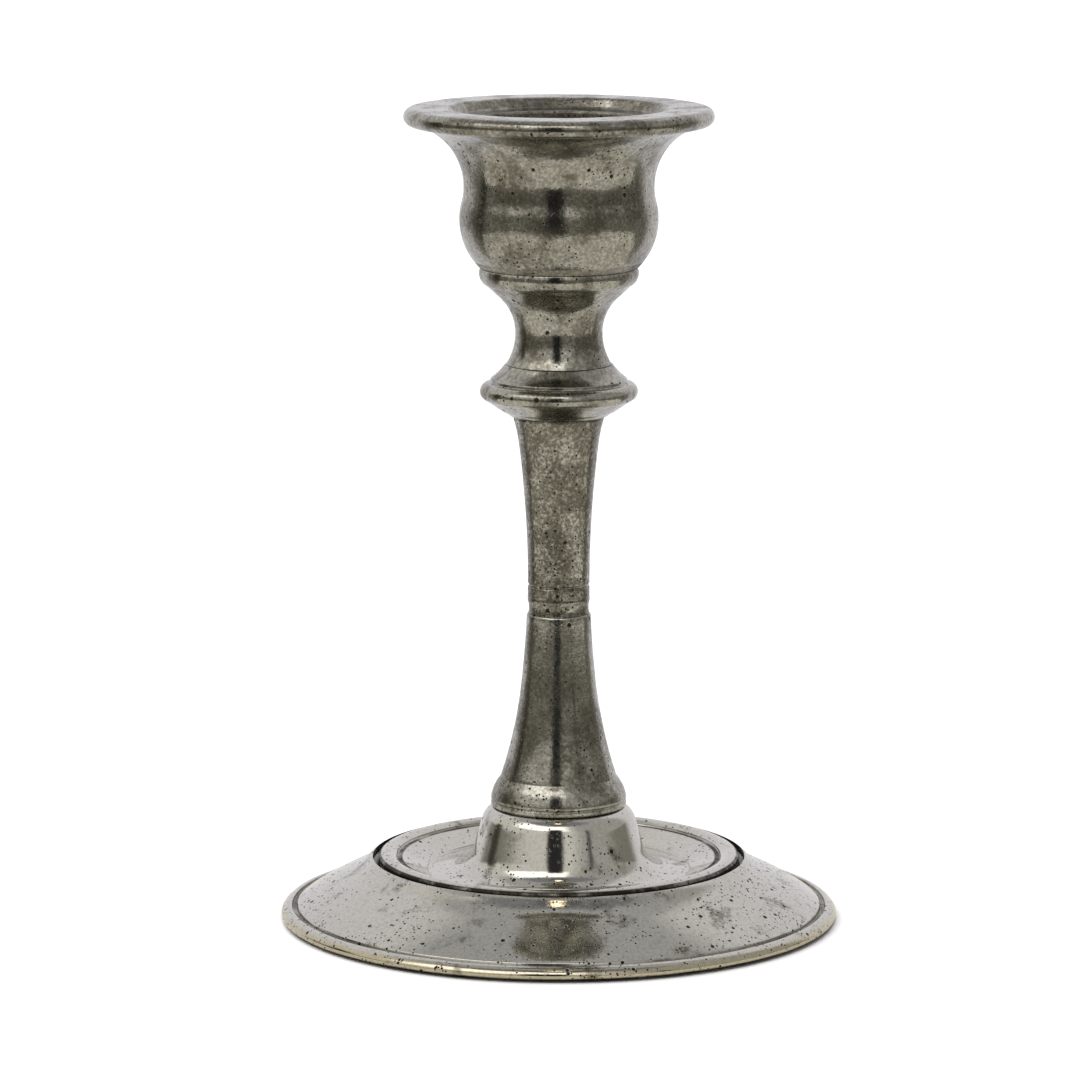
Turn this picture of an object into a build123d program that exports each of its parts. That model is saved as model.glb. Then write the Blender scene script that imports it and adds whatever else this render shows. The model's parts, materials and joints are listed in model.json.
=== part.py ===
from build123d import *
import math
import os

# A small candlestick, cast in silvered brass and turned. Its shells are stacked on one tie rod,
# which screws up into the candle cup and is drawn tight from below by a nut, hidden in the base.
# Millimetres. Z is the candlestick's own axis and points up. The origin is the centre of the
# felt's lower face, on the surface that the candlestick stands on.

# ---- driving dimensions ----
HEIGHT = 114.0  # ground to the top of the rim
FOOT_R = 39.0
RIM_R = 21.45
SAUCER_R = 25.3
CANDLE_BORE_R = 11.25  # for a 22 mm (7/8 in) candle
BORE_FLOOR_Z = 94.5
BORE_TOP_Z = 112.1
LEDGE_Z = 112.6  # the sunk ledge around the socket

# heights of the joints between the stacked shells
DECK_Z = 5.3  # saucer on the base's deck
HUB_Z = 16.0  # lower stem on the saucer's hub
WAIST_Z = 43.4  # upper stem on lower stem
KNOP_FOOT_Z = 71.3  # knop on upper stem
KNOP_TOP_Z = 78.4  # neck spool on knop
CUP_Z = 91.9  # cup on neck spool

# spigot below each shell, which sits in the shell under it: radius, length
CUP_SPIGOT = (4.6, 5.0)
NECK_SPIGOT = (4.6, 2.5)
KNOP_SPIGOT = (4.2, 2.0)
WAIST_SPIGOT = (3.5, 2.5)
STEM_SPIGOT = (5.5, 2.0)
SPIGOT_PLAY = 0.05

# tie rod, M5, and what tightens it
ROD_R = 2.5
ROD_CORE_R = 2.05
THREAD_PITCH = 0.8
ROD_TOP_Z = 92.2
ROD_BOTTOM_Z = 2.3
TOP_TURNS = 8
BOTTOM_TURNS = 10
TAPPED_R = 2.52
TAPPED_TOP_Z = 92.7
DRILL_POINT = 0.8
CLEARANCE_R = 2.7
WASHER_R = 5.0
WASHER_THICKNESS = 1.0
LOCK_WASHER_R = 4.4
LOCK_WASHER_THICKNESS = 1.2
LOCK_WASHER_GAP = 0.9
NUT_ACROSS_FLATS = 8.0
NUT_HEIGHT = 4.5
NUT_CORNER_DROP = 0.55

# saucer and base
WELL_R = 18.3
WELL_Z = 6.85
SEAT_R = 19.0  # where the flat of the saucer's underside ends
BOSS_R = 10.9
BOSS_Z = 4.2
HUB_RECESS_R = 8.8
HUB_RECESS_Z = 11.8
RECESS_R = 26.1  # leaves a shadow gap around the saucer's lip
DECK_HOLE_R = 11.0
DECK_UNDER_Z = 3.6
FOOT_Z = 0.4  # the felt lifts the metal this far off the ground
REBATE_R = 36.2
REBATE_Z = 1.6

# clamp plate, what is drawn up against it, and what closes the base
PLATE_R = 15.0
PLATE_THICKNESS = 1.0
PLATE_BEND = 1.2
CROWN_R = 8.0
CROWN_Z = 11.0
WASHER_Z = CROWN_Z - PLATE_THICKNESS - WASHER_THICKNESS
LOCK_WASHER_Z = WASHER_Z - LOCK_WASHER_THICKNESS
NUT_Z = LOCK_WASHER_Z - NUT_HEIGHT
BACKING_R = 36.1
BACKING_THICKNESS = 0.5
FELT_R = 36.0
FELT_ROUND = 0.3


class Outline:
    """Half section of a turned piece, drawn from point to point as (radius, height)."""

    def __init__(self, *start):
        self.start = start
        self.at = start
        self.edges = []

    def add(self, edge, end):
        """Puts one more edge on the outline, and says where it ends."""
        self.edges.append(edge)
        self.at = end
        return self

    def line(self, *ends):
        """Straight stretches from each point to the next."""
        for end in ends:
            self.add(Line(self.at, end), end)
        return self

    def arc(self, end, bulge):
        """A round stretch, whose bulge is to the left of the way it is drawn if positive."""
        return self.add(SagittaArc(self.at, end, bulge), end)

    def flow(self, end):
        """A round stretch that leaves the last edge without a corner."""
        return self.add(TangentArc(self.at, end, tangent=self.edges[-1] % 1), end)

    def core(self, joint_z, spigot, socket, top_z):
        """The hidden side of a shell: under its spigot, up the rod hole and out of its socket."""
        spigot_r, spigot_length = spigot
        socket_r = socket[0] + SPIGOT_PLAY
        socket_z = top_z - socket[1] - SPIGOT_PLAY
        return self.line(
            (spigot_r, joint_z),
            (spigot_r, joint_z - spigot_length),
            (CLEARANCE_R, joint_z - spigot_length),
            (CLEARANCE_R, socket_z),
            (socket_r, socket_z),
            (socket_r, top_z),
        )

    def turned(self):
        """The solid that the closed outline sweeps about Z."""
        self.line(self.start)
        return revolve(Plane.XZ * make_face(self.edges), Axis.Z)


def candle_cup():
    """Bell-shaped cup: rolled rim, sunk ledge, round bowl, and a blind socket for the candle."""
    bead_r = 20.25
    cup = Outline(bead_r, HEIGHT).arc((bead_r, HEIGHT - 2.45), RIM_R - bead_r)
    cup.line((19.1, HEIGHT - 2.55)).arc((13.2, 103.2), -1.627)
    cup.line((13.2, 102.9)).flow((13.45, 101.1)).flow((13.78, 98.7)).flow((11.0, CUP_Z))
    spigot_r, spigot_length = CUP_SPIGOT
    cup.line((spigot_r, CUP_Z), (spigot_r, CUP_Z - spigot_length))
    cup.line((TAPPED_R, CUP_Z - spigot_length), (TAPPED_R, TAPPED_TOP_Z))
    cup.line((0, TAPPED_TOP_Z + DRILL_POINT), (0, BORE_FLOOR_Z))
    corner_r = 0.8
    cup.line((CANDLE_BORE_R - corner_r, BORE_FLOOR_Z))
    cup.flow((CANDLE_BORE_R, BORE_FLOOR_Z + corner_r)).line((CANDLE_BORE_R, BORE_TOP_Z))
    cup.arc((11.5, LEDGE_Z - 0.15), 0.06).line((14.0, LEDGE_Z)).arc((14.45, 112.85), -0.07)
    cup.line((15.05, 113.7)).flow((15.62, HEIGHT))
    return cup.turned()


def neck_spool():
    """Waisted spool, with a round bead where it meets the cup."""
    neck = Outline(10.9, CUP_Z).arc((10.05, 89.4), 0.53)
    neck.line((8.25, 87.75)).flow((6.08, 82.7)).flow((7.35, KNOP_TOP_Z))
    return neck.core(KNOP_TOP_Z, NECK_SPIGOT, CUP_SPIGOT, CUP_Z).turned()


def knop_disc():
    """Sharp-edged disc: a coved top, a fine step, a round edge and a coned underside."""
    knop = Outline(7.5, KNOP_TOP_Z).arc((9.5, 76.4), -0.12)
    knop.line((9.55, 75.95), (9.9, 75.85)).arc((10.15, 73.45), 0.97)
    knop.line((7.9, 71.9)).arc((6.9, KNOP_FOOT_Z), -0.1)
    return knop.core(KNOP_FOOT_Z, KNOP_SPIGOT, NECK_SPIGOT, KNOP_TOP_Z).turned()


def upper_stem():
    """Long taper down to the waist, with a fine groove, a plain band and a cove at its end."""
    stem = Outline(6.3, KNOP_FOOT_Z).line((6.3, 70.8)).arc((5.6, 67.5), -0.066)
    stem.flow((4.87, 60.8)).flow((4.32, 47.7))
    stem.arc((4.32, 47.15), -0.13).line((4.34, 45.6)).arc((4.3, 45.1), 0.04)
    stem.arc((4.3, WAIST_Z), -0.12)
    return stem.core(WAIST_Z, WAIST_SPIGOT, KNOP_SPIGOT, KNOP_FOOT_Z).turned()


def lower_stem():
    """Trumpet-shaped flare that ends in a round collar."""
    stem = Outline(4.3, WAIST_Z).arc((4.5, WAIST_Z - 0.4), 0.05)
    stem.arc((5.3, 33.0), -0.1).flow((8.05, 20.5))
    stem.line((8.1, 20.25)).arc((9.5, 17.4), 0.2).line((9.5, 17.05))
    stem.arc((9.52, 16.65), -0.12).line((9.5, 16.3)).arc((9.25, HUB_Z), 0.07)
    return stem.core(HUB_Z, STEM_SPIGOT, WAIST_SPIGOT, WAIST_Z).turned()


def drip_saucer():
    """Coned hub in a shallow round well, with a rolled lip around it."""
    saucer = Outline(9.25, HUB_Z).arc((10.75, 14.25), 0.22).line((12.1, 9.6)).flow((14.9, 7.05))
    saucer.line((WELL_R, WELL_Z), (WELL_R + 0.2, WELL_Z + 0.25), (22.0, 8.7))
    saucer.arc((22.75, 8.95), -0.3).arc((25.0, 9.15), 0.36).arc((SAUCER_R, 8.7), 0.07)
    saucer.line((SAUCER_R, 8.0), (24.5, 7.5), (SEAT_R, DECK_Z), (BOSS_R, DECK_Z), (BOSS_R, BOSS_Z))
    saucer.line((HUB_RECESS_R, BOSS_Z), (HUB_RECESS_R, HUB_RECESS_Z))
    saucer.line((CLEARANCE_R, HUB_RECESS_Z))
    socket_r = STEM_SPIGOT[0] + SPIGOT_PLAY
    socket_z = HUB_Z - STEM_SPIGOT[1] - SPIGOT_PLAY
    saucer.line((CLEARANCE_R, socket_z), (socket_r, socket_z), (socket_r, HUB_Z))
    return saucer.turned()


def base_flange():
    """Hollow foot with an ogee slope, a grooved bead around it and a deck for the saucer."""
    base = Outline(RECESS_R, 8.85).arc((26.75, 8.3), 0.03).flow((29.3, 6.35)).flow((32.9, 4.5)).flow((36.7, 2.2))
    base.line((36.85, 1.65), (37.35, 1.65), (37.5, 2.05)).arc((FOOT_R, 1.05), 0.3)
    base.line((FOOT_R, FOOT_Z + 0.3)).arc((FOOT_R - 0.35, FOOT_Z), 0.08)
    base.line((REBATE_R, FOOT_Z), (REBATE_R, REBATE_Z), (34.4, REBATE_Z))
    base.arc((30.2, DECK_UNDER_Z), -0.15)
    base.line((DECK_HOLE_R, DECK_UNDER_Z), (DECK_HOLE_R, DECK_Z), (SEAT_R + 0.6, DECK_Z))
    base.line((RECESS_R, 7.8))
    return base.turned()


def tie_rod():
    """Rod with a thread at each end, drawn as rings at the thread's pitch."""
    plain_r = ROD_R - 0.05
    rod = Outline(0, ROD_TOP_Z).line((ROD_CORE_R, ROD_TOP_Z))

    def thread(top_z, turns):
        for turn in range(turns):
            crest_z = top_z - (turn + 0.5) * THREAD_PITCH
            rod.line((ROD_R, crest_z), (ROD_CORE_R, crest_z - THREAD_PITCH / 2))

    thread(ROD_TOP_Z, TOP_TURNS)
    bottom_thread_z = ROD_BOTTOM_Z + BOTTOM_TURNS * THREAD_PITCH
    rod.line((plain_r, ROD_TOP_Z - TOP_TURNS * THREAD_PITCH), (plain_r, bottom_thread_z))
    rod.line((ROD_CORE_R, bottom_thread_z))
    thread(bottom_thread_z, BOTTOM_TURNS)
    return rod.line((0, ROD_BOTTOM_Z)).turned()


def clamp_plate():
    """Sheet pressed to a hat: its brim pulls the deck up and its crown hides the nut."""
    brim_z = DECK_UNDER_Z - PLATE_THICKNESS
    inner_r = CROWN_R - PLATE_THICKNESS
    ceiling_z = CROWN_Z - PLATE_THICKNESS
    inner_bend = PLATE_BEND - PLATE_THICKNESS / 2
    hat = Outline(CLEARANCE_R, CROWN_Z).line((CROWN_R - PLATE_BEND, CROWN_Z))
    hat.flow((CROWN_R, CROWN_Z - PLATE_BEND)).line((CROWN_R, DECK_UNDER_Z + inner_bend))
    hat.flow((CROWN_R + inner_bend, DECK_UNDER_Z)).line((PLATE_R, DECK_UNDER_Z))
    hat.line((PLATE_R, brim_z), (inner_r + PLATE_BEND, brim_z))
    hat.flow((inner_r, brim_z + PLATE_BEND)).line((inner_r, ceiling_z - inner_bend))
    hat.flow((inner_r - inner_bend, ceiling_z)).line((CLEARANCE_R, ceiling_z))
    return hat.turned()


def ring(outer_r, inner_r, low_z, high_z):
    """A plain turned ring."""
    section = Outline(outer_r, high_z)
    return section.line((outer_r, low_z), (inner_r, low_z), (inner_r, high_z)).turned()


def flat_washer():
    """Plain washer under the clamp plate's crown."""
    return ring(WASHER_R, CLEARANCE_R, WASHER_Z, WASHER_Z + WASHER_THICKNESS)


def lock_washer():
    """Spring washer, split on one side."""
    whole = ring(LOCK_WASHER_R, CLEARANCE_R, LOCK_WASHER_Z, WASHER_Z)
    split = Pos(LOCK_WASHER_R, 0, LOCK_WASHER_Z + LOCK_WASHER_THICKNESS / 2)
    return whole - split * Box(2 * LOCK_WASHER_R, LOCK_WASHER_GAP, 2 * LOCK_WASHER_THICKNESS)


def clamp_nut():
    """Hexagon nut whose corners are turned down at both faces."""
    flat_r = NUT_ACROSS_FLATS / 2
    corner_r = flat_r / math.cos(math.pi / 6)
    hexagon = RegularPolygon(flat_r, 6, major_radius=False)
    prism = Pos(0, 0, NUT_Z) * extrude(hexagon, NUT_HEIGHT)
    top_z = NUT_Z + NUT_HEIGHT
    blank = Outline(flat_r, top_z).line(
        (corner_r, top_z - NUT_CORNER_DROP),
        (corner_r, NUT_Z + NUT_CORNER_DROP),
        (flat_r, NUT_Z),
        (TAPPED_R, NUT_Z),
        (TAPPED_R, top_z),
    )
    return prism & blank.turned()


def backing_disc():
    """Sheet disc that closes the hollow foot."""
    disc = Outline(BACKING_R, REBATE_Z).line((BACKING_R, REBATE_Z - BACKING_THICKNESS))
    return disc.line((0, REBATE_Z - BACKING_THICKNESS), (0, REBATE_Z)).turned()


def felt_pad():
    """Felt under the foot, which stands a little proud of the metal."""
    top_z = REBATE_Z - BACKING_THICKNESS
    felt = Outline(FELT_R, top_z).line((FELT_R, FELT_ROUND))
    return felt.flow((FELT_R - FELT_ROUND, 0)).line((0, 0), (0, top_z)).turned()


NODES = {
    "candle_cup": candle_cup,
    "neck_spool": neck_spool,
    "knop_disc": knop_disc,
    "upper_stem": upper_stem,
    "lower_stem": lower_stem,
    "drip_saucer": drip_saucer,
    "base_flange": base_flange,
    "tie_rod": tie_rod,
    "clamp_plate": clamp_plate,
    "flat_washer": flat_washer,
    "lock_washer": lock_washer,
    "clamp_nut": clamp_nut,
    "backing_disc": backing_disc,
    "felt_pad": felt_pad,
}

os.makedirs("parts", exist_ok=True)
for name, make in NODES.items():
    export_step(make(), f"parts/{name}.step")
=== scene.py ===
import json
import math
import random

import bmesh
import bpy
import numpy as np
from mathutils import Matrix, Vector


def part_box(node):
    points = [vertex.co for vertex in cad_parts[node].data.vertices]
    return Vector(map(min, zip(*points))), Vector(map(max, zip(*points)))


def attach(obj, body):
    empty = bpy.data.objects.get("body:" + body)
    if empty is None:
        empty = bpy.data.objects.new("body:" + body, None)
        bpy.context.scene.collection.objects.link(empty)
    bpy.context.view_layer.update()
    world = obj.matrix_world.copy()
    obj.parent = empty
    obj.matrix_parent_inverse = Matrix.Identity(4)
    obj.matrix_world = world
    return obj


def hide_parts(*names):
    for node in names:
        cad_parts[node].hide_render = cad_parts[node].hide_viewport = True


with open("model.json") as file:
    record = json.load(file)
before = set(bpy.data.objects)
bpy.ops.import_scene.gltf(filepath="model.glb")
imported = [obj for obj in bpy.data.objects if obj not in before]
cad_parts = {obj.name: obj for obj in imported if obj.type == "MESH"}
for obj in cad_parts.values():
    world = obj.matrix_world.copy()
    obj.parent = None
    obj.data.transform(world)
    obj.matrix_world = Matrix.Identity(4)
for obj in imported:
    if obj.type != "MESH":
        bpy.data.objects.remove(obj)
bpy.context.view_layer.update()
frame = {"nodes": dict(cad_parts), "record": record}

MM = 0.001

# ---- camera: a long lens, from a little above, with the candlestick just right of the centre ----
CAMERA_DISTANCE = 0.7672  # level, from the candlestick's axis
CAMERA_HEIGHT = 0.1852
CAMERA_PITCH = 9.73  # degrees down
CAMERA_YAW = 0.195  # degrees to the left
CAMERA_LENS = 186.3
CAMERA_SENSOR = 36.0

# ---- light and floor ----
SUN_STRENGTH = 2.4
SUN_SPREAD = 80  # degrees across, so that shadows are soft
SUN_TILT = (-18, -14, 0)  # degrees
FLOOR_REACH = 6.0
FLOOR_COLOUR = (0.90, 0.90, 0.905)
TABLETOP_LOW = (-0.38, -0.30)
TABLETOP_HIGH = (0.38, 0.05)
# painted shade: the table as the metal mirrors it, darker than the floor
TABLETOP_SHADE_COLOUR = (0.62, 0.605, 0.55)

# ---- turned shells ----
STEP = 0.5 * MM  # between neighbouring points of a shell's surface
FEWEST_SEGMENTS = 128  # round the axis
CORNER = math.radians(13)  # the outline turns less than this between two points of one curve
WORN_EDGE = 0.09 * MM  # how far a worn corner is rounded off
WOBBLE = 0.03 * MM  # how uneven the cast and hand-finished surface is
ON_SEAM = 0.002 * MM  # a vertex this near the seam's plane lies on it
ON_AXIS = 0.05 * MM  # a point this near the axis is moved to it
ONE_POINT = 0.02 * MM  # points this near one another on the axis are joined


# ---------------------------------------------------------------- shells
def seam(node):
    """The half section of a turned CAD node, as (radius, height), and whether it ends on the axis."""
    mesh = node.data
    place = {
        v.index: (round(v.co.x, 6), round(v.co.z, 6))
        for v in mesh.vertices
        if abs(v.co.y) < ON_SEAM and v.co.x > -ON_SEAM
    }
    beside = {}
    for edge in mesh.edges:
        a, b = (place.get(i) for i in edge.vertices)
        if a and b and a != b:
            beside.setdefault(a, set()).add(b)
            beside.setdefault(b, set()).add(a)
    ends = sorted(p for p in beside if len(beside[p]) == 1)
    path = [ends[0] if ends else max(beside)]
    while True:
        onward = sorted(beside[path[-1]] - set(path))
        if not onward:
            break
        path.append(onward[0])
    if ends:  # a flat floor has no seam, so the path stops short of the axis
        path.append((0.0, path[-1][1]))
    return np.array(path), bool(ends)


def turn(before, after):
    """Signed angle from one direction to another."""
    cross = before[0] * after[1] - before[1] * after[0]
    return math.atan2(cross, float(before @ after))


def mirrored(tangent, straight):
    """The direction at one end of an arc, from that at its other end and its chord."""
    if tangent is None:
        return straight
    return 2 * float(tangent @ straight) * straight - tangent


def finer(points, is_open):
    """The outline with points STEP apart, curved between them, and with worn corners."""
    count = len(points)
    chords = [points[(i + 1) % count] - points[i] for i in range(count)]
    lengths = [float(np.hypot(*chord)) for chord in chords]
    tangents = [None] * count  # stays None at a corner and at an open end
    for i in range(count):
        is_end = is_open and i in (0, count - 1)
        if not is_end and abs(turn(chords[i - 1], chords[i])) < CORNER:
            blend = chords[i - 1] * lengths[i - 1] + chords[i] * lengths[i]
            tangents[i] = blend / np.hypot(*blend)
    out = []
    for i in range(count - 1 if is_open else count):
        j = (i + 1) % count
        length = lengths[i]
        straight = chords[i] / length
        start, end = tangents[i], tangents[j]
        is_corner = start is None and not (is_open and i == 0)
        if start is None:
            start = mirrored(end, straight)
        if end is None:
            end = mirrored(start, straight)
        steps = max(1, math.ceil(length / STEP))
        for k in range(steps):
            t = k / steps
            point = (
                (1 + 2 * t) * (1 - t) ** 2 * points[i]
                + t * (1 - t) ** 2 * length * start
                + t * t * (3 - 2 * t) * points[j]
                - t * t * (1 - t) * length * end
            )
            out.append((point, is_corner and k == 0))
    if is_open:
        out.append((points[-1], False))
    return worn(out)


def worn(marked):
    """The outline with each point that is marked as a corner replaced by a small curve."""
    out = []
    count = len(marked)
    for i, (point, is_corner) in enumerate(marked):
        if not is_corner:
            out.append(point)
            continue
        sides = []
        for other in (marked[i - 1][0], marked[(i + 1) % count][0]):
            away = other - point
            length = float(np.hypot(*away))
            sides.append(point + away * min(WORN_EDGE, 0.4 * length) / length)
        for t in (0.0, 0.33, 0.67, 1.0):
            out.append((1 - t) ** 2 * sides[0] + 2 * t * (1 - t) * point + t * t * sides[1])
    return np.array(out)


def wobble_waves():
    """Waves that run all ways through space, 5 to 14 mm long."""
    dice = random.Random(11)
    waves = []
    for _ in range(18):
        way = np.array([dice.gauss(0, 1) for _ in range(3)])
        way *= 2 * math.pi / (dice.uniform(5, 14) * MM) / np.linalg.norm(way)
        waves.append((way, dice.uniform(0, 2 * math.pi)))
    return waves


WAVES = wobble_waves()


def wobble(points):
    """How far below the true surface each point lies, 0 to 1."""
    total = sum(np.sin(points @ way + phase) for way, phase in WAVES)
    return 0.5 + 0.5 * np.tanh(total / math.sqrt(len(WAVES) / 2) * 0.7)


def outward_from(line, is_open):
    """The direction out of the metal at each point of a shell's outline."""
    if is_open:
        along = np.gradient(line, axis=0)
    else:
        along = np.roll(line, -1, axis=0) - np.roll(line, 1, axis=0)
    along /= np.linalg.norm(along, axis=1)[:, None] + 1e-12
    outward = np.stack([along[:, 1], -along[:, 0]], axis=1)
    x, z = line[:, 0], line[:, 1]
    area = float(np.sum(x * np.roll(z, -1) - np.roll(x, -1) * z))
    return -outward if area < 0 else outward


def swept(section, segments):
    """Points or directions of a half section, turned about the axis."""
    angles = np.arange(segments) * 2 * math.pi / segments
    spin = np.stack([np.cos(angles), np.sin(angles)], axis=1)
    ring = section[:, None, :1] * spin[None, :, :]
    height = np.repeat(section[:, None, 1:], segments, axis=1)
    return np.concatenate([ring, height], axis=2).reshape(-1, 3)


def shell(name):
    """A shell spun from its CAD node's own section, slightly uneven and worn."""
    outline, is_open = seam(frame["nodes"][name])
    line = finer(outline, is_open)
    count = len(line)
    around = 2 * math.pi * line[:, 0].max()
    segments = max(FEWEST_SEGMENTS, 16 * math.ceil(around / STEP / 16))
    points = swept(line, segments)
    points -= swept(outward_from(line, is_open), segments) * (WOBBLE * wobble(points))[:, None]
    faces = []
    for i in range(count - 1 if is_open else count):
        low, high = i * segments, (i + 1) % count * segments
        for k in range(segments):
            n = (k + 1) % segments
            faces.append((low + k, low + n, high + n, high + k))
    mesh = bpy.data.meshes.new(name + "_shell")
    mesh.from_pydata(points.tolist(), [], faces)
    solid = bmesh.new()
    solid.from_mesh(mesh)
    if is_open:  # the innermost ring of points becomes one point on the axis
        on_axis = [v for v in solid.verts if math.hypot(v.co.x, v.co.y) < ON_AXIS]
        for v in on_axis:
            v.co.x = v.co.y = 0
        bmesh.ops.remove_doubles(solid, verts=on_axis, dist=ONE_POINT)
    bmesh.ops.recalc_face_normals(solid, faces=solid.faces)
    solid.to_mesh(mesh)
    solid.free()
    mesh.shade_smooth()
    piece = bpy.data.objects.new(name + "_shell", mesh)
    bpy.context.scene.collection.objects.link(piece)
    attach(piece, "root")
    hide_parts(name)
    return piece


# ---------------------------------------------------------------- node trees
class Tree:
    """Short ways to write the nodes of a material or of the world."""

    def __init__(self, owner):
        owner.use_nodes = True
        self.tree = owner.node_tree
        self.tree.nodes.clear()

    def put(self, socket, value):
        if isinstance(value, bpy.types.NodeSocket):
            self.tree.links.new(value, socket)
        else:
            socket.default_value = value

    def node(self, kind, inputs=(), **settings):
        made = self.tree.nodes.new("ShaderNode" + kind)
        for name, value in settings.items():
            setattr(made, name, value)
        for name, value in dict(inputs).items():
            self.put(made.inputs[name], value)
        return made

    def math(self, operation, *values):
        made = self.node("Math", operation=operation)
        for socket, value in zip(made.inputs, values):
            self.put(socket, value)
        return made.outputs[0]

    def times(self, *values):
        product = values[0]
        for value in values[1:]:
            product = self.math("MULTIPLY", product, value)
        return product

    def smooth(self, value, low, high, first=0.0, last=1.0):
        """Goes softly from first to last as value goes from low to high."""
        inputs = {"Value": value, "From Min": low, "From Max": high, "To Min": first, "To Max": last}
        return self.node("MapRange", inputs, interpolation_type="SMOOTHSTEP").outputs["Result"]

    def mix(self, share, a, b):
        """Colour a, and b instead where share is 1."""
        made = self.node("Mix", data_type="RGBA")
        for index, value in ((0, share), (6, a), (7, b)):
            self.put(made.inputs[index], (*value, 1.0) if isinstance(value, tuple) else value)
        return made.outputs[2]

    def blend(self, share, a, b):
        """Number a, and b instead where share is 1."""
        made = self.node("Mix", data_type="FLOAT")
        for index, value in ((0, share), (2, a), (3, b)):
            self.put(made.inputs[index], value)
        return made.outputs[0]

    def noise(self, where, size, detail=2.0, roughness=0.5):
        """Noise from 0 to 1, whose blotches are about size across, in millimetres."""
        inputs = {"Vector": where, "Scale": 1 / size, "Detail": detail, "Roughness": roughness}
        return self.node("TexNoise", inputs).outputs["Fac"]


def millimetres(tree):
    """Where a point is, in the row frame, in millimetres."""
    place = tree.node("TexCoord").outputs["Object"]
    return tree.node("VectorMath", {"Vector": place, "Scale": 1 / MM}, operation="SCALE").outputs[0]


def finish_material(tree, colour, roughness, height, metallic):
    """Ends a material's tree. height is its relief, in millimetres."""
    bump = tree.node("Bump", {"Height": height, "Distance": MM, "Strength": 1.0})
    inputs = {"Base Color": colour, "Roughness": roughness, "Normal": bump.outputs[0], "Metallic": metallic}
    surface = tree.node("BsdfPrincipled", inputs)
    tree.node("OutputMaterial", {"Surface": surface.outputs[0]})


# ---------------------------------------------------------------- silvered metal
CLEAN = (0.62, 0.605, 0.555)
FILM = (0.32, 0.308, 0.265)
TARNISHED = (0.125, 0.113, 0.085)
BRASSY = (0.56, 0.51, 0.39)
# near-black of dirt and of painted shade in nooks and gaps; also the colour of the pits
SHADE_AND_GRIME = (0.035, 0.030, 0.022)

# how each shell has aged: film, tarnish, pitting and grain, 0 to 1
AGE = {
    "candle_cup": (0.85, 0.50, 0.60, 0.50),
    "neck_spool": (0.80, 0.50, 0.60, 0.50),
    "knop_disc": (0.70, 0.50, 0.50, 0.35),
    "upper_stem": (0.90, 0.80, 0.80, 1.00),
    "lower_stem": (0.75, 0.60, 0.55, 0.45),
    "drip_saucer": (0.05, 0.06, 0.65, 0.05),
    "base_flange": (0.12, 0.14, 0.90, 0.10),
}

# sizes on the metal and the hidden parts are in millimetres
NOOK = 1.4  # painted shade and dirt darken the metal where metal faces metal nearer than this
# painted shade and dirt in turned grooves and gaps: how far in from the shell's edge, half width, and
# share, 0 to 1
SHADE_AND_DIRT_RINGS = {
    "drip_saucer": ((3.0, 0.38, 1.0), (0.1, 0.28, 1.0)),
    "base_flange": ((1.9, 0.25, 0.8),),
}
WORN_THROUGH = 1.3  # the foot's silvering has gone this far up from its lower edge
SOCKET_BORE = next(m["dims"]["r_mm"] for m in frame["record"]["mounts"] if m["name"] == "candle_socket")
SOCKET_MOUTH = SOCKET_BORE + 0.55  # inside this radius, the cup was never polished
SOCKET_ROUGHNESS = 0.55
PITS = ((0.5, 0.15), (1.5, 0.30))  # fine and coarse: spacing and radius
PIT_DEPTH = 0.07
RIPPLE_DEPTH = 0.012


def pits(tree, where, spacing, radius, share):
    """Round casting pits: 1 inside one, 0 outside."""
    cells = tree.node("TexVoronoi", {"Vector": where, "Scale": 1 / spacing})
    dice = tree.node("SeparateColor", {"Color": cells.outputs["Color"]})
    away = tree.times(cells.outputs["Distance"], spacing)
    edge = tree.times(tree.math("ADD", dice.outputs[0], 0.35), radius)
    inside = tree.smooth(tree.math("DIVIDE", away, edge), 1.0, 0.6)
    return tree.times(inside, tree.math("LESS_THAN", dice.outputs[1], share))


def shade_and_dirt(tree, name, from_axis, patchy):
    """Painted shade and dirt in nooks and in turned grooves, 0 to 1: darker where nearby metal hides the
    room's light.
    """
    # ambient occlusion: the metal is painted darker where other metal shades it
    open_sky = tree.node("AmbientOcclusion", {"Distance": NOOK * MM}, samples=6).outputs["AO"]
    found = tree.times(tree.smooth(open_sky, 0.72, 0.30), patchy)
    # dark rings painted where the gap under the saucer's lip and the turned grooves lie in shade
    for inset, reach, share in SHADE_AND_DIRT_RINGS.get(name, ()):
        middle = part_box(name)[1].x / MM - inset
        off = tree.math("ABSOLUTE", tree.math("SUBTRACT", from_axis, middle))
        ring = tree.times(tree.smooth(off, 1.3 * reach, 0.6 * reach), patchy, share)
        found = tree.math("MAXIMUM", found, ring)
    return found


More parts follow.
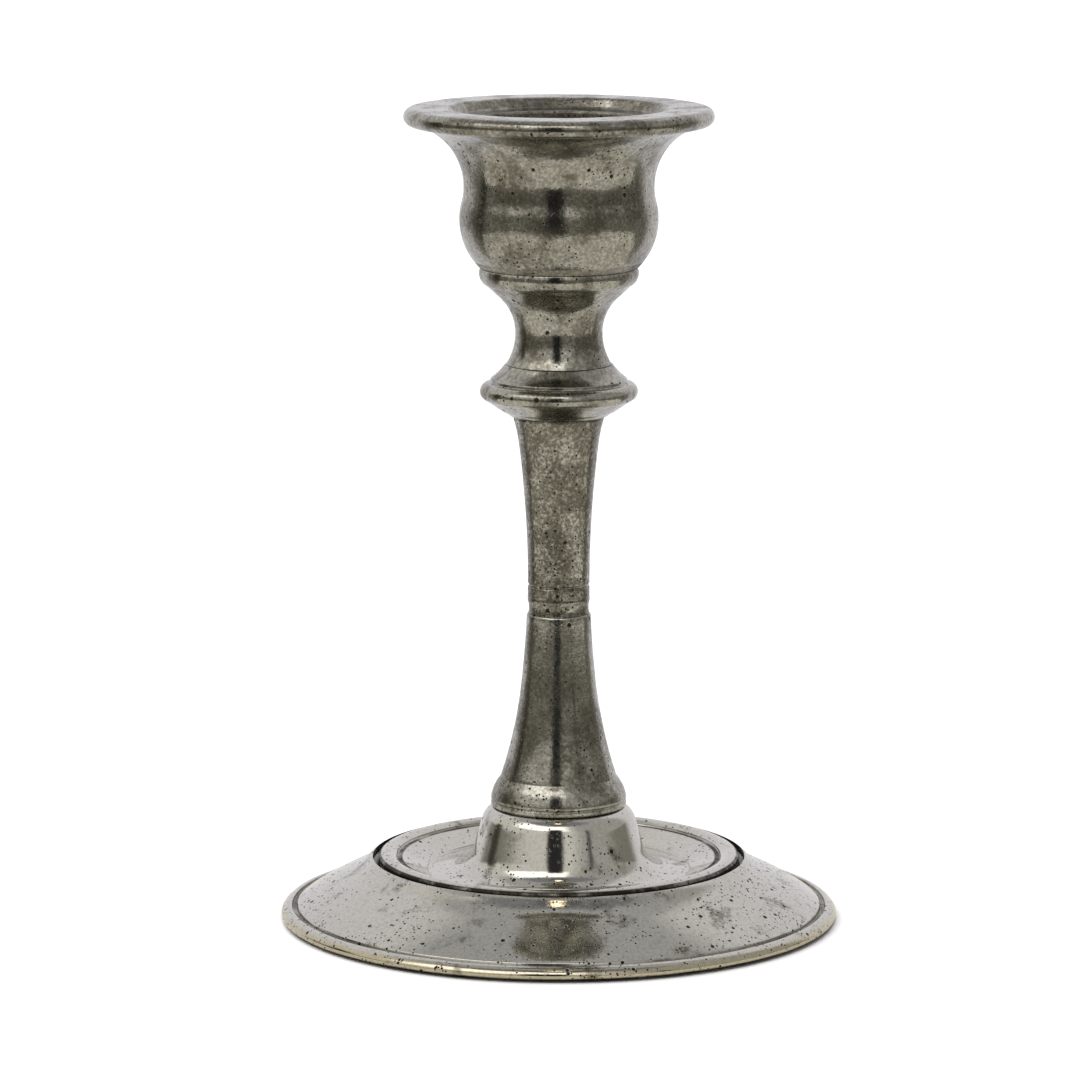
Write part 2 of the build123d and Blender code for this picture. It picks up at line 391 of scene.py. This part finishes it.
def silvered(name, film, tarnish, pitting, grain):
    """Worn silvered metal. film, tarnish, pitting and grain say how far each goes, 0 to 1."""
    material = bpy.data.materials.new("silvered_" + name)
    tree = Tree(material)
    where = millimetres(tree)
    x, y, z = tree.node("SeparateXYZ", {"Vector": where}).outputs
    from_axis = tree.math("SQRT", tree.math("ADD", tree.times(x, x), tree.times(y, y)))

    blotches = tree.noise(where, 5.0, 5.0, 0.62)
    stain = tree.smooth(blotches, 0.59 - 0.3 * tarnish, 0.72 - 0.22 * tarnish)
    mottle = tree.noise(where, 0.55, 4.0, 0.65)
    stain = tree.times(stain, tree.smooth(mottle, 0.3, 0.6, 0.2, 0.9))
    speckle = tree.noise(where, 0.45, 3.0, 0.75)
    dark_specks = tree.smooth(speckle, 0.54, 0.42, 0.0, 0.12 + 0.68 * grain)
    bright_specks = tree.smooth(speckle, 0.53, 0.62, 0.0, 0.75 * grain)
    # painted shade in nooks, gaps and grooves, mixed with dirt
    grime_and_shade = shade_and_dirt(tree, name, from_axis, tree.smooth(blotches, 0.3, 0.55, 0.45, 1.0))
    brassy = tree.smooth(tree.noise(where, 3.2, 4.0, 0.6), 0.56, 0.68, 0.0, 0.35 * film)
    if name == "base_flange":
        worn_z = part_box(name)[0].z / MM + WORN_THROUGH
        brassy = tree.math("MAXIMUM", brassy, tree.smooth(z, worn_z + 0.2, worn_z - 0.2))
    crowding = tree.smooth(tree.noise(where, 9.0, 2.0), 0.38, 0.62, 0.12, 1.0)
    share = tree.times(crowding, pitting)
    pit = tree.math("MAXIMUM", *[pits(tree, where, *kind, share) for kind in PITS])

    colour = tree.mix(film, CLEAN, FILM)
    layers = (
        (brassy, BRASSY),
        (bright_specks, CLEAN),
        (stain, TARNISHED),
        (dark_specks, TARNISHED),
        (grime_and_shade, SHADE_AND_GRIME),
        (pit, SHADE_AND_GRIME),
    )
    for cover, tint in layers:
        colour = tree.mix(cover, colour, tint)

    roughness = tree.blend(stain, 0.09 + 0.05 * film, 0.24 + 0.12 * tarnish)
    roughness = tree.blend(grime_and_shade, roughness, 0.5)
    roughness = tree.blend(pit, roughness, 0.6)
    if name == "candle_cup":
        in_socket = tree.math("LESS_THAN", from_axis, SOCKET_MOUTH)
        roughness = tree.math("MAXIMUM", roughness, tree.times(in_socket, SOCKET_ROUGHNESS))

    relief = tree.times(tree.noise(where, 0.4, 3.0), 0.003 + 0.028 * grain)
    ripple = tree.times(tree.noise(where, 2.2, 2.0), RIPPLE_DEPTH)
    height = tree.math("SUBTRACT", tree.math("ADD", relief, ripple), tree.times(pit, PIT_DEPTH))
    finish_material(tree, colour, roughness, height, metallic=1.0)
    return material


for name, age in AGE.items():
    shell(name).data.materials.append(silvered(name, *age))


# ---------------------------------------------------------------- hidden parts
CARD = {"dark": (0.33, 0.27, 0.21), "light": (0.52, 0.45, 0.36), "size": 0.4, "depth": 0.02}
FELT = {"dark": (0.02, 0.07, 0.04), "light": (0.07, 0.18, 0.11), "size": 0.25, "depth": 0.12}


def zinc_steel():
    """Bright zinc plate with a crystalline bloom."""
    material = bpy.data.materials.new("zinc_steel")
    tree = Tree(material)
    bloom = tree.noise(millimetres(tree), 1.2, 4.0, 0.6)
    colour = tree.mix(bloom, (0.50, 0.52, 0.54), (0.72, 0.72, 0.70))
    roughness = tree.smooth(bloom, 0.3, 0.7, 0.28, 0.45)
    finish_material(tree, colour, roughness, tree.times(bloom, 0.01), metallic=1.0)
    return material


def fibre(name, dark, light, size, depth):
    """A matt, fibrous sheet, such as card or felt."""
    material = bpy.data.materials.new(name)
    tree = Tree(material)
    where = millimetres(tree)
    tangle = tree.noise(where, size, 6.0, 0.75)
    clouds = tree.noise(where, 12.0, 2.0)
    colour = tree.mix(tree.times(tree.math("ADD", tangle, clouds), 0.5), dark, light)
    roughness = tree.smooth(tangle, 0.2, 0.8, 0.8, 1.0)
    finish_material(tree, colour, roughness, tree.times(tangle, depth), metallic=0.0)
    return material


HIDDEN = {
    "zinc_steel": zinc_steel(),
    "backing_card": fibre("backing_card", **CARD),
    "green_felt": fibre("green_felt", **FELT),
}
for part in frame["record"]["subparts"]:
    if part["node"] not in AGE:
        node = frame["nodes"][part["node"]]
        node.data.materials.clear()
        node.data.materials.append(HIDDEN[part["material_slot"]])


# ---------------------------------------------------------------- room, as the metal mirrors it
def room():
    """Grey room with a white backdrop, soft lamps above and the dark shape behind the camera."""
    world = bpy.data.worlds.new("room")
    bpy.context.scene.world = world
    tree = Tree(world)
    way = tree.node("TexCoord").outputs["Generated"]
    x, y, z = tree.node("SeparateXYZ", {"Vector": way}).outputs
    azimuth = tree.math("ARCTAN2", x, tree.times(y, -1.0))
    elevation = tree.math("ARCSINE", z)

    def patch(centre, half, soft):
        """1 in a patch of the room. Angles are in degrees: right of the camera, and up."""
        shares = []
        for angle, at, reach, blur in zip((azimuth, elevation), centre, half, soft):
            off = tree.math("SUBTRACT", angle, math.radians(at))
            off = tree.math("ABSOLUTE", tree.math("WRAP", off, -math.pi, math.pi))
            shares.append(tree.smooth(off, math.radians(reach + blur), math.radians(reach - blur)))
        return tree.times(*shares)

    def lamp(centre, radius, soft):
        """1 in a round patch of the room, in the same degrees."""
        across, up = (math.radians(angle) for angle in centre)
        towards = (math.sin(across) * math.cos(up), -math.cos(across) * math.cos(up), math.sin(up))
        near = tree.node("VectorMath", {0: way, 1: towards}, operation="DOT_PRODUCT").outputs["Value"]
        edges = (math.cos(math.radians(radius + reach)) for reach in (soft, -soft))
        return tree.smooth(near, *edges)

    light = (0.27, 0.26, 0.23)  # where nothing else is
    patches = (
        # shape, centre, half size or radius, softness, radiance
        (patch, (0, 40), (182, 26), (1, 4), (0.82, 0.80, 0.76)),  # walls
        (patch, (82, 38), (54, 25), (14, 4), (0.47, 0.465, 0.445)),  # right wall
        (patch, (0, 78), (182, 18), (1, 5), (0.27, 0.275, 0.29)),  # ceiling
        (patch, (180, 72), (92, 20), (20, 8), (0.50, 0.50, 0.50)),  # ceiling to the sides and behind
        (patch, (180, -4), (56, 56), (9, 9), (0.84, 0.83, 0.86)),  # backdrop
        (patch, (-34, 47), (48, 12), (10, 3), (2.1, 2.07, 2.0)),  # long lamp
        (patch, (-5, 12), (11, 30), (3, 4), (0.03, 0.03, 0.032)),  # dark shape behind the camera
        (patch, (-103, -20), (7, 42), (4, 5), (0.07, 0.065, 0.05)),  # gap on the left
        (patch, (46, 10), (3, 22), (2, 5), (0.12, 0.12, 0.115)),  # panel's edge on the right
        (lamp, (180, 86), 9, 4, (0.50, 0.50, 0.50)),  # ceiling lamp
        (lamp, (0, 74), 8, 2, (0.14, 0.14, 0.14)),  # dark frame in front of it
        (lamp, (-1, 77), 2.6, 0.8, (3.4, 2.8, 2.0)),  # small warm lamp in that frame
    )
    for shape, *place, radiance in patches:
        light = tree.mix(shape(*place), light, radiance)
    background = tree.node("Background", {"Color": light})
    tree.node("OutputWorld", {"Surface": background.outputs[0]})


room()


# ---------------------------------------------------------------- floor and light
def plane(name, low, high, height, shade):
    """A flat pale sheet with the faintest unevenness."""
    mesh = bpy.data.meshes.new(name)
    corners = ((low[0], low[1]), (high[0], low[1]), (high[0], high[1]), (low[0], high[1]))
    mesh.from_pydata([(x, y, height) for x, y in corners], [], [(0, 1, 2, 3)])
    material = bpy.data.materials.new(name)
    tree = Tree(material)
    tint = tree.noise(millimetres(tree), 60.0, 3.0)
    colour = tree.mix(tint, tuple(0.985 * c for c in shade), shade)
    inputs = {"Base Color": colour, "Roughness": 0.9, "Specular IOR Level": 0.1}
    surface = tree.node("BsdfPrincipled", inputs)
    tree.node("OutputMaterial", {"Surface": surface.outputs[0]})
    mesh.materials.append(material)
    sheet = bpy.data.objects.new(name, mesh)
    bpy.context.scene.collection.objects.link(sheet)
    return sheet


floor = plane("floor", (-FLOOR_REACH, -FLOOR_REACH), (FLOOR_REACH, FLOOR_REACH), 0.0, FLOOR_COLOUR)
floor.visible_glossy = False
# what the metal mirrors of the table: a darker copy of the floor, painted shade for the less lit table, and
# it ends in front
shaded_tabletop = plane("shaded_tabletop", TABLETOP_LOW, TABLETOP_HIGH, 0.01 * MM, TABLETOP_SHADE_COLOUR)
shaded_tabletop.visible_camera = False
shaded_tabletop.visible_diffuse = False
shaded_tabletop.visible_shadow = False

sun_data = bpy.data.lights.new("soft_light", "SUN")
sun_data.energy = SUN_STRENGTH
sun_data.angle = math.radians(SUN_SPREAD)
sun = bpy.data.objects.new("soft_light", sun_data)
sun.rotation_euler = [math.radians(angle) for angle in SUN_TILT]
sun.visible_glossy = False
bpy.context.scene.collection.objects.link(sun)
bpy.context.scene.view_settings.view_transform = "Standard"

# ---------------------------------------------------------------- camera
camera_data = bpy.data.cameras.new("camera")
camera_data.lens = CAMERA_LENS
camera_data.sensor_width = CAMERA_SENSOR
camera = bpy.data.objects.new("camera", camera_data)
camera.location = (0.0, -CAMERA_DISTANCE, CAMERA_HEIGHT)
camera.rotation_euler = [math.radians(angle) for angle in (90 - CAMERA_PITCH, 0.0, CAMERA_YAW)]
bpy.context.scene.collection.objects.link(camera)
bpy.context.scene.camera = camera
